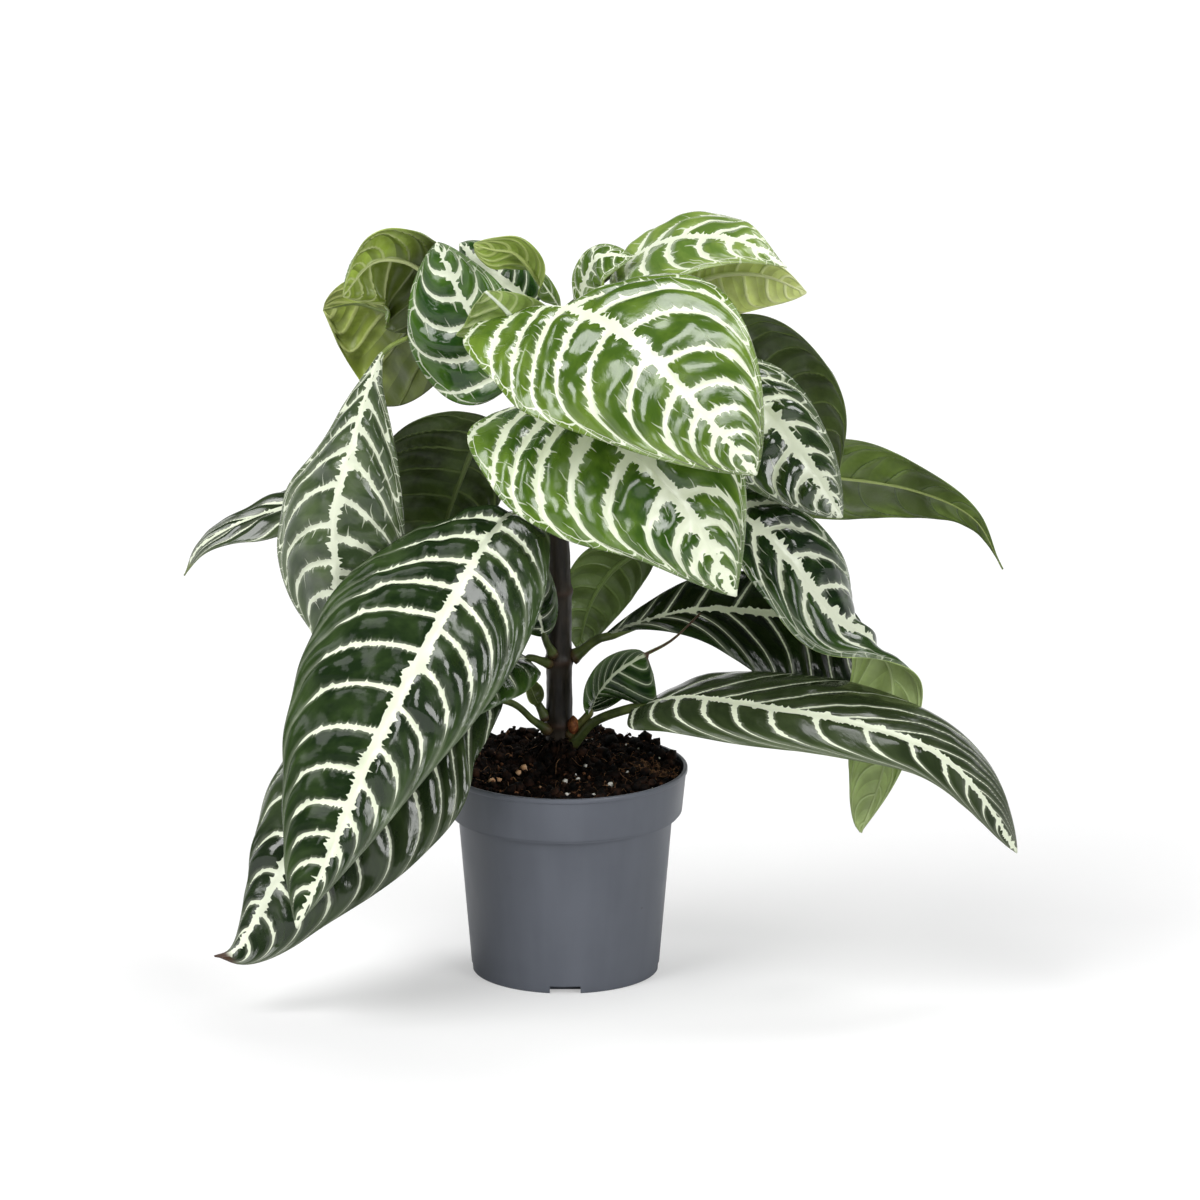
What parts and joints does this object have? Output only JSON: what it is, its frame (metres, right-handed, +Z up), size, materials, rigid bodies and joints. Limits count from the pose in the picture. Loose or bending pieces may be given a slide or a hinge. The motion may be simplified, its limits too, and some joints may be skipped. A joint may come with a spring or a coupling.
{
  "type": "potted zebra plant",
  "caption": "Potted zebra plant: a tapered plastic nursery pot filled with peat, one woody stem and drooping pointed leaves on short stalks.",
  "frame": {"origin": "centre of the pot's underside, on the surface it stands on", "axes": "+Z up the pot's axis, -Y towards the plant's front, +X to its right seen from the front"},
  "size_m": [0.4084, 0.2275, 0.3723],
  "materials": {
    "pot_plastic": "matte",
    "peat": "matte",
    "bark": "satin",
    "bud_scale": "satin",
    "leaf_dark": "satin",
    "leaf_mid": "satin",
    "leaf_pale": "satin"
  },
  "bodies": {
    "root": {"pot": "pot_plastic", "soil": "peat", "stem": "bark", "side_bud": "bud_scale", "leaf_front_left": "leaf_dark", "leaf_low_left": "leaf_dark", "leaf_hanging_left": "leaf_dark", "leaf_far_left": "leaf_dark", "leaf_top_left": "leaf_pale", "leaf_left_behind": "leaf_pale", "leaf_upper_left": "leaf_dark", "leaf_crown_arched": "leaf_mid", "leaf_crown_left": "leaf_mid", "leaf_crown_young": "leaf_pale", "leaf_centre": "leaf_mid", "leaf_below_centre": "leaf_mid", "leaf_top_right": "leaf_mid", "leaf_top_right_under": "leaf_pale", "leaf_crown_right": "leaf_mid", "leaf_back_right": "leaf_dark", "leaf_right_upper": "leaf_dark", "leaf_far_right": "leaf_dark", "leaf_right_hanging": "leaf_dark", "leaf_right_shaded": "leaf_dark", "leaf_right_long": "leaf_dark", "leaf_folded_by_stem": "leaf_dark", "leaf_behind_stem": "leaf_pale", "leaf_back_left": "leaf_dark", "leaf_hidden_left": "leaf_dark", "leaf_beside_stem": "leaf_dark", "leaf_sprout": "leaf_pale"}
  },
  "joints": []
}
